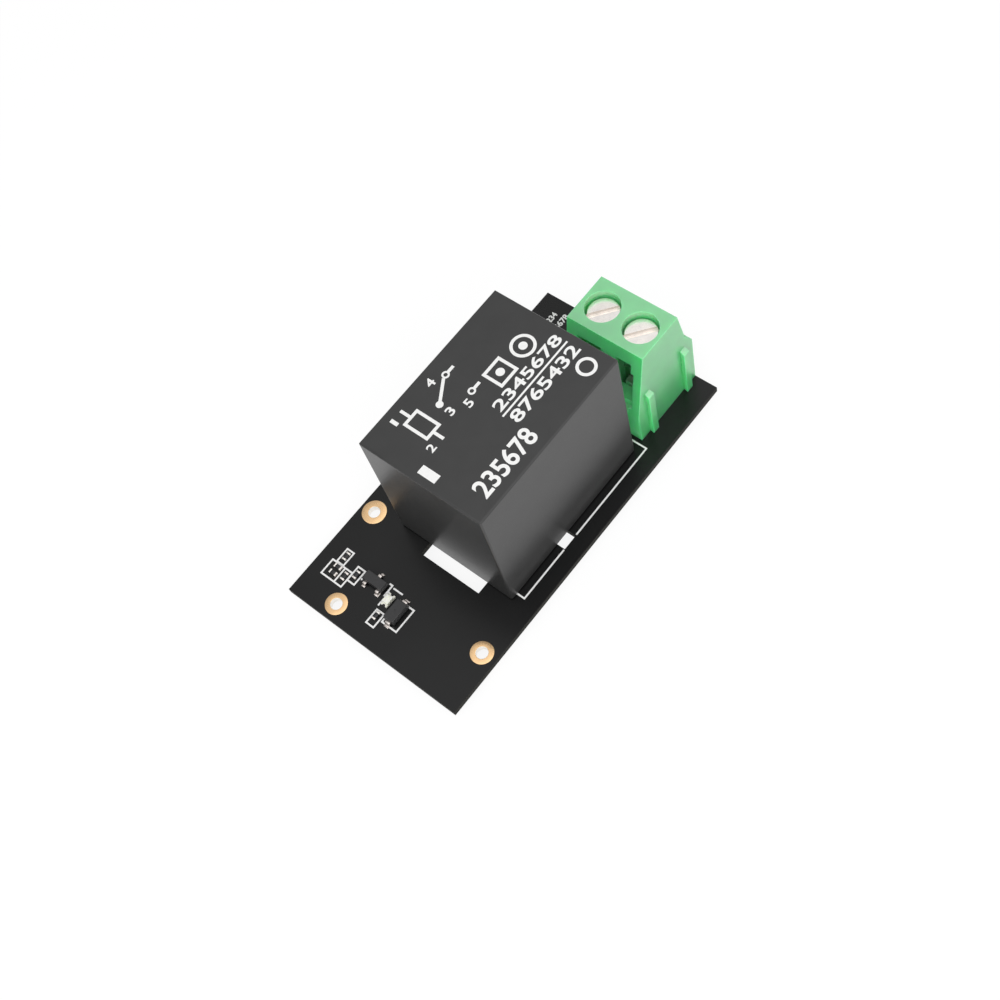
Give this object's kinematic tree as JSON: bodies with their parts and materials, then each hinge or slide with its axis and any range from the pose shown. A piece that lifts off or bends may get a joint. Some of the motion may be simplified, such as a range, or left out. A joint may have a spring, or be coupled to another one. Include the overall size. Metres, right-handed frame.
{
  "type": "relay module",
  "caption": "Small board with a change-over power relay, a two-pole screw terminal, driver parts and three plated holes.",
  "frame": {"origin": "under the middle of the board, on the plane of the trimmed pin tips that it stands on", "axes": "+X along the board from the driver parts to the screw terminal, +Z out of the board's populated face"},
  "size_m": [0.048, 0.025, 0.0216],
  "materials": {
    "board": "solder mask, satin",
    "gold": "gold plate",
    "solder": "tin solder, bright",
    "relay_plastic": "moulded, fine matt",
    "base_plastic": "moulded",
    "bobbin_plastic": "moulded, natural",
    "copper_wire": "enamelled copper",
    "soft_iron": "soft iron, zinc plated",
    "tinned_pin": "tinned",
    "contact_copper": "copper alloy",
    "spring_bronze": "phosphor bronze",
    "rivet_steel": "steel",
    "contact_silver": "silver alloy",
    "terminal_plastic": "moulded, satin",
    "screw_steel": "nickel plated",
    "clamp_steel": "zinc plated",
    "chip_ceramic": "glazed ceramic",
    "chip_tin": "matt tin",
    "epoxy": "moulded epoxy",
    "lead_tin": "matt tin",
    "light_substrate": "pale laminate",
    "light_resin": "clear pale resin",
    "light_gold": "gold plate"
  },
  "bodies": {
    "module": {"circuit_board": "board", "hole_lands": "gold", "solder_joints": "solder", "relay_case": "relay_plastic", "relay_base": "base_plastic", "coil_bobbin": "bobbin_plastic", "coil_winding": "copper_wire", "iron_core": "soft_iron", "yoke": "soft_iron", "coil_pins": "tinned_pin", "current_bar_1": "tinned_pin", "current_bar_2": "tinned_pin", "com_terminal": "contact_copper", "no_terminal": "contact_copper", "nc_terminal": "contact_copper", "hinge_spring": "spring_bronze", "spring_rivets": "rivet_steel", "no_contact": "contact_silver", "nc_contact": "contact_silver", "terminal_housing": "terminal_plastic", "resistor_bodies": "chip_ceramic", "resistor_caps": "chip_tin", "transistor_body": "epoxy", "diode_body": "epoxy", "transistor_leads": "lead_tin", "diode_leads": "lead_tin", "light_base": "light_substrate", "light_lens": "light_resin", "light_pads": "light_gold"},
    "armature_unit": {"armature": "soft_iron", "contact_leaf": "spring_bronze", "leaf_rivets": "rivet_steel", "moving_contact": "contact_silver"},
    "screw_1": {"clamp_screw_1": "screw_steel"},
    "screw_2": {"clamp_screw_2": "screw_steel"},
    "clamp_1": {"wire_clamp_1": "clamp_steel"},
    "clamp_2": {"wire_clamp_2": "clamp_steel"}
  },
  "joints": [
    {"name": "armature_hinge", "type": "hinge", "parent": "module", "child": "armature_unit", "pos_m": [-0.00758, -0.00132, 0.0161], "axis": [0, 1, 0], "range_deg": [0, 3.19], "stiffness_Nm_per_rad": 0.03, "springref_deg": -8.59},
    {"name": "screw_1_turn", "type": "hinge", "parent": "module", "child": "screw_1", "pos_m": [0.01878, -0.00696, 0.016], "axis": [0, 0, -1], "range_deg": [0, 2520]},
    {"name": "clamp_1_lift", "type": "slide", "parent": "module", "child": "clamp_1", "axis": [0, 0, 1], "range_m": [0, 0.00315]},
    {"name": "screw_2_turn", "type": "hinge", "parent": "module", "child": "screw_2", "pos_m": [0.01878, -0.00188, 0.016], "axis": [0, 0, -1], "range_deg": [0, 2520]},
    {"name": "clamp_2_lift", "type": "slide", "parent": "module", "child": "clamp_2", "axis": [0, 0, 1], "range_m": [0, 0.00315]}
  ],
  "couplings": [
    {"joint": "screw_1_turn", "follows": "clamp_1_lift", "rad_per_m": 13963},
    {"joint": "screw_2_turn", "follows": "clamp_2_lift", "rad_per_m": 13963}
  ]
}
